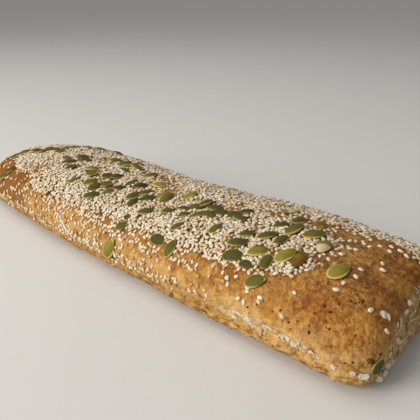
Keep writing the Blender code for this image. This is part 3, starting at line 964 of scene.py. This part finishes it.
# Oat flakes
# A few rolled oats from the seed mix, thin and slightly cupped. They stuck along the seam and rim at
# the near corner and on the torn end.
OAT_FLAKE = (5.4, 4.0, 0.8)
# On the crust: x, turn, heading and size
CORNER_FLAKES = (
    (190, 86, 10, 1.05), (186, 85, 60, 0.75), (187, 40, 75, 0.75), (177, 86, -30, 0.6),
    (166, 80, 15, 0.6), (155, 82, -10, 0.8), (160, 82, 20, 0.75), (151, 80, -35, 0.75),
    (126, 80, 30, 0.8), (137, 81, 0, 0.65), (128, 79, 70, 0.5),
)
# On the near end: y, z, heading and size
END_FLAKES = (
    (-21, 26, 70, 1.0), (-26, 20, 60, 0.8), (-34, 17, 80, 0.6), (-12, 28, 50, 0.7), (-4, 20, 20, 0.8),
    (-37, 8, 10, 0.8), (-33, 10, 75, 0.75), (-41, 7, -20, 0.9), (6, 24, 40, 0.7), (20, 18, -30, 0.9),
    (33, 12, 60, 0.7), (-17, 12, 0, 0.6),
)
flake_lies = []
for x, turn, heading, size in CORNER_FLAKES:
    place, normal = crust_place(x, turn)
    tilt = sway.uniform(-15, 15)
    flake_lies.append(lay_flat(place, normal, heading, size, 0.3, tilt, sway.uniform(0, 3)))
for y, z, heading, size in END_FLAKES:
    place, normal = crust_from((PAST_END, y, z), (-1.0, 0.0, 0.0))
    tilt = sway.uniform(-20, 20)
    flake_lies.append(lay_flat(place, normal, heading, size, 0.4, tilt, sway.uniform(0, 3)))

bpy.ops.object.select_all(action="DESELECT")
bpy.ops.mesh.primitive_cylinder_add(vertices=12, radius=0.5, depth=0.5, end_fill_type="NGON")
flake = bpy.context.object
for side in (1, -1):
    select_faces(flake, lambda face: face.normal.z * side > 0.9)
    for thickness in (0.10, 0.15):
        bpy.ops.mesh.inset(thickness=thickness)
        bpy.ops.transform.translate(value=(0.0, 0.0, 0.12 * side))
    bpy.ops.mesh.poke()
    bpy.ops.object.mode_set(mode="OBJECT")
for vertex in flake.data.vertices:
    x, y, z = vertex.co
    ragged = 1.0 + 0.22 * noise.noise(Vector((x, y, 0.0)) * 3.1)
    cupped = z * OAT_FLAKE[2] + 0.5 * OAT_FLAKE[2] * ((2.0 * x) ** 2 + noise.noise(vertex.co * 4.0))
    vertex.co = Vector((x * OAT_FLAKE[0] * ragged, y * OAT_FLAKE[1] * ragged, cupped)) * MM
round_off(flake, 1)

oat_flakes = strew("oat_flakes", flake, flake_lies, [sway.random() for _ in flake_lies], OAT_FLAKE[:2])
bpy.data.objects.remove(flake)
oat_flakes.data.materials.append(flour_finish("rolled oat", (0.86, 0.78, 0.65), (0.66, 0.52, 0.34)))
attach(oat_flakes, "root")

# Bran and linseed
# Dark chips of bran and broken linseed from the flour, baked into the skin of the crust. They stand a
# little proud of it, all over.
BRAN_CHIP = (1.5, 1.1, 0.7)
BRAN_COUNT = 420
# The chips that stand out: x, turn and size
LARGE_CHIPS = (
    (192, 72, 2.9), (174, 41, 1.3), (176, 41, 1.4), (178, 38, 1.3), (165, 49, 1.5), (169, 51, 1.4),
    (163, 67, 1.5), (172, 60, 1.2), (145, 62, 1.2), (151, 67, 1.2), (126, 70, 1.2), (186, 75, 1.2),
    (183, 77, 1.0), (194, 66, 1.3),
)
chip_lies = []
for x, turn, size in LARGE_CHIPS:
    place, normal = crust_place(x, turn)
    chip_lies.append(lay_flat(place, normal, crumb_draw.uniform(0, 360), size, 0.0))
while len(chip_lies) < BRAN_COUNT:
    place, normal = crust_place(crumb_draw.uniform(-194, 194), crumb_draw.uniform(-96, 96))
    size = crumb_draw.triangular(0.35, 1.15, 0.5)
    if place is not None and not under_pumpkin_seed(place):
        chip_lies.append(lay_flat(place, normal, crumb_draw.uniform(0, 360), size, -0.05))

bpy.ops.object.select_all(action="DESELECT")
bpy.ops.mesh.primitive_ico_sphere_add(subdivisions=1, radius=0.5)
chip = bpy.context.object
for vertex in chip.data.vertices:
    vertex.co *= 1.0 + 0.5 * noise.noise(vertex.co * 3.0 + Vector((4.0, 0.0, 0.0)))
    vertex.co = Vector([part * side * MM for part, side in zip(vertex.co, BRAN_CHIP)])


def bran_finish():
    """Dark brown husk with a dull sheen."""
    material, tree, shader, coordinates = start_finish("bran and linseed")
    mottle = place_mottle(tree, coordinates, 500.0, 1800.0, 0.5)
    tone = piece_tone(tree, mottle, 0.3, 0.7)
    husks = ((0.0, (0.036, 0.014, 0.005)), (0.6, (0.100, 0.038, 0.009)), (1.0, (0.180, 0.070, 0.014)))
    set_surface(tree, shader, ramp(tree, tone, *husks), 0.75, 0.12)
    return material


bran_chips = strew("bran_chips", chip, chip_lies, [crumb_draw.random() for _ in chip_lies], BRAN_CHIP[:2])
bpy.data.objects.remove(chip)
bran_chips.data.materials.append(bran_finish())
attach(bran_chips, "root")
